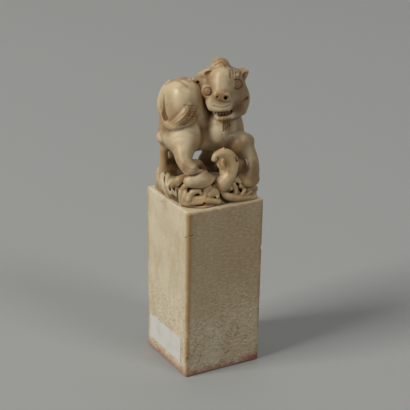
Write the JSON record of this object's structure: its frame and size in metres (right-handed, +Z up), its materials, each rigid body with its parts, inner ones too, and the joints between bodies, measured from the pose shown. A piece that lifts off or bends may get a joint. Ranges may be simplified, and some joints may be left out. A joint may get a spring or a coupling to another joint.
{
  "type": "seal stamp",
  "caption": "Square soapstone seal stamp with a fretted printing face and a carved horned beast on a wave base as its knob.",
  "frame": {"origin": "centre of the printing face at the foot of the stamp", "axes": "+Z up through the knob, +X the way the beast walks, -Y the front with the beast's near side"},
  "size_m": [0.0258, 0.026, 0.0949],
  "materials": {
    "stone": "waxed and worn, semi-matte",
    "paper": "matte"
  },
  "bodies": {
    "root": {"seal_block": "stone", "wave_base": "stone", "beast": "stone", "paper_label": "paper"}
  },
  "joints": []
}
